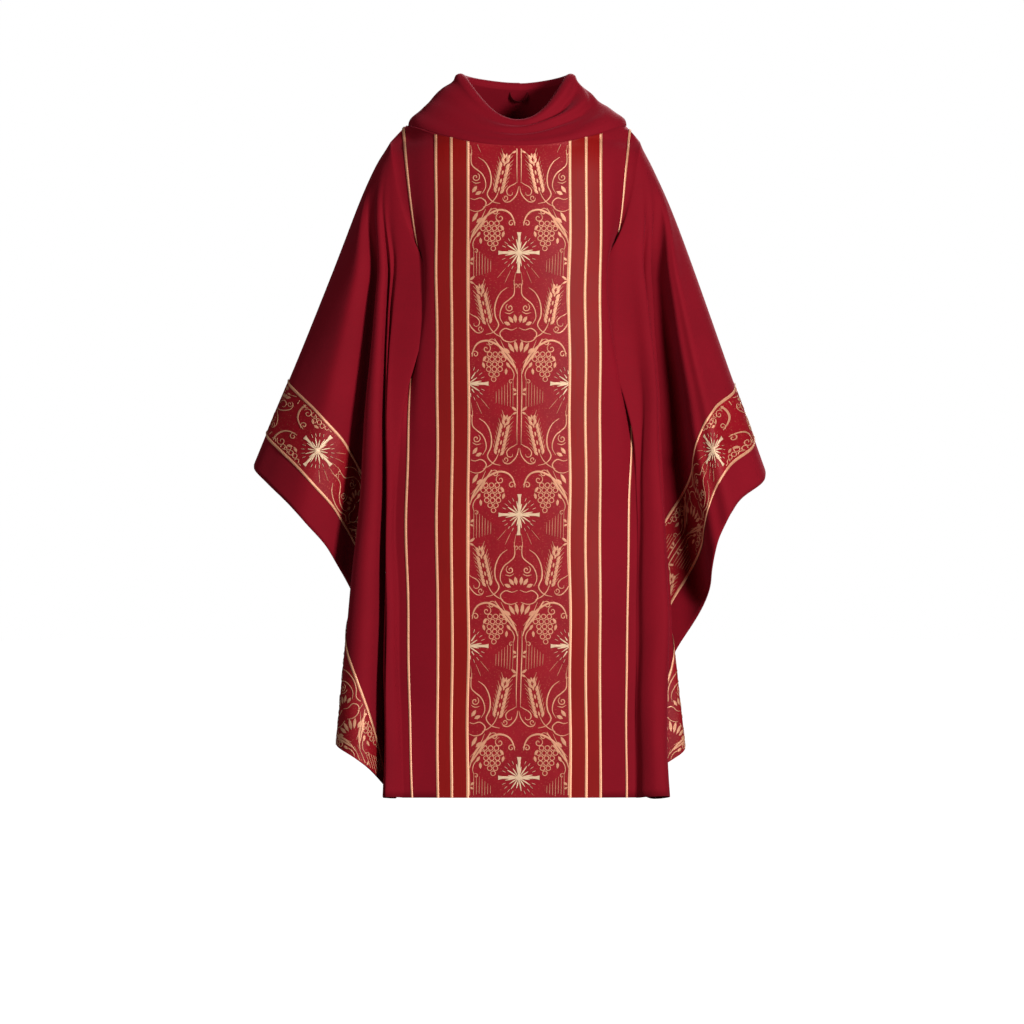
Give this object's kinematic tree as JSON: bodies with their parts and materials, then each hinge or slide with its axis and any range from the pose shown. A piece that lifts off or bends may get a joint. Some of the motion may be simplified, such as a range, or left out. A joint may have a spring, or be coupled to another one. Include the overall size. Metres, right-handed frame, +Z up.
{
  "type": "chasuble",
  "caption": "Ample crimson chasuble with a cowl collar, a gold brocade orphrey down the centre, gold braid lines and brocade sleeve bands, in its worn drape",
  "frame": {"origin": "middle of the neck opening, level with the top of the wearer's shoulders", "axes": "+X to the right seen from the front, +Z up, the front faces -Y"},
  "size_m": [0.9762, 0.4032, 1.3344],
  "materials": {
    "crimson_cloth": "matt plain weave, slightly slubbed",
    "red_satin": "satin weave, soft sheen",
    "brocade": "red brocade with woven gold pattern",
    "gold_braid": "metallic gold thread braid",
    "lining_tape": "matt dark red tape"
  },
  "bodies": {
    "root": {"front_panel": "crimson_cloth", "front_orphrey": "brocade", "front_left_orphrey_braid": "gold_braid", "front_left_side_strip": "red_satin", "front_left_strip_middle_braid": "gold_braid", "front_left_strip_edge_braid": "gold_braid", "front_left_outer_line_braid": "gold_braid", "front_right_orphrey_braid": "gold_braid", "front_right_side_strip": "red_satin", "front_right_strip_middle_braid": "gold_braid", "front_right_strip_edge_braid": "gold_braid", "front_right_outer_line_braid": "gold_braid", "front_left_sleeve_band": "brocade", "front_left_sleeve_inner_braid": "gold_braid", "front_left_sleeve_outer_braid": "gold_braid", "front_right_sleeve_band": "brocade", "front_right_sleeve_inner_braid": "gold_braid", "front_right_sleeve_outer_braid": "gold_braid", "front_hem_facing": "lining_tape", "back_panel": "crimson_cloth", "back_orphrey": "brocade", "back_left_orphrey_braid": "gold_braid", "back_left_side_strip": "red_satin", "back_left_strip_middle_braid": "gold_braid", "back_left_strip_edge_braid": "gold_braid", "back_left_outer_line_braid": "gold_braid", "back_right_orphrey_braid": "gold_braid", "back_right_side_strip": "red_satin", "back_right_strip_middle_braid": "gold_braid", "back_right_strip_edge_braid": "gold_braid", "back_right_outer_line_braid": "gold_braid", "back_left_sleeve_band": "brocade", "back_left_sleeve_inner_braid": "gold_braid", "back_left_sleeve_outer_braid": "gold_braid", "back_right_sleeve_band": "brocade", "back_right_sleeve_inner_braid": "gold_braid", "back_right_sleeve_outer_braid": "gold_braid", "back_hem_facing": "lining_tape", "collar_outer": "crimson_cloth", "collar_inner": "crimson_cloth", "neck_seam_tape": "lining_tape", "left_shoulder_tape": "lining_tape", "right_shoulder_tape": "lining_tape", "hanging_loop": "lining_tape"}
  },
  "joints": []
}
